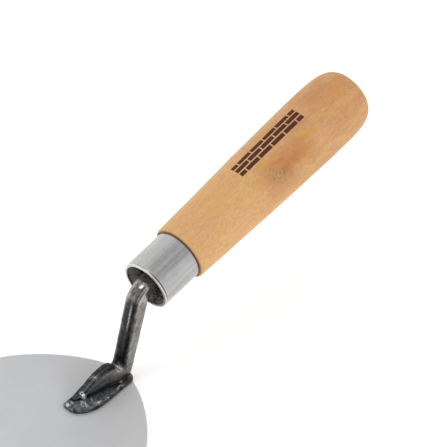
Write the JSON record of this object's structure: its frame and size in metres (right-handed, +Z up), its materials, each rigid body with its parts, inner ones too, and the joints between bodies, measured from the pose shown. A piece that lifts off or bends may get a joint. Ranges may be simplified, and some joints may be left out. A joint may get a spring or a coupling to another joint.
{
  "type": "bricklaying trowel",
  "caption": "Hand trowel with a flat round-heeled pointed steel blade, a cranked forged shank on top, a steel ferrule and a turned wooden handle.",
  "frame": {"origin": "on the blade's flat underside, on its centre line, at the foot of the shank's neck, 2.8 mm in from the heel edge", "axes": "+X from the blade towards the handle, +Z up out of the blade's upper face towards the handle, +Y across the blade"},
  "size_m": [0.3237, 0.104, 0.1118],
  "materials": {
    "blade_steel": "satin, ground and lacquered",
    "forged_steel": "black forge scale, semi-gloss, straw and brown heat tint at the lower bend",
    "ferrule_steel": "satin drawn steel with fine lengthwise streaks",
    "handle_wood": "satin varnish over light hardwood"
  },
  "bodies": {
    "root": {"blade": "blade_steel", "shank": "forged_steel", "ferrule": "ferrule_steel", "handle": "handle_wood"}
  },
  "joints": []
}
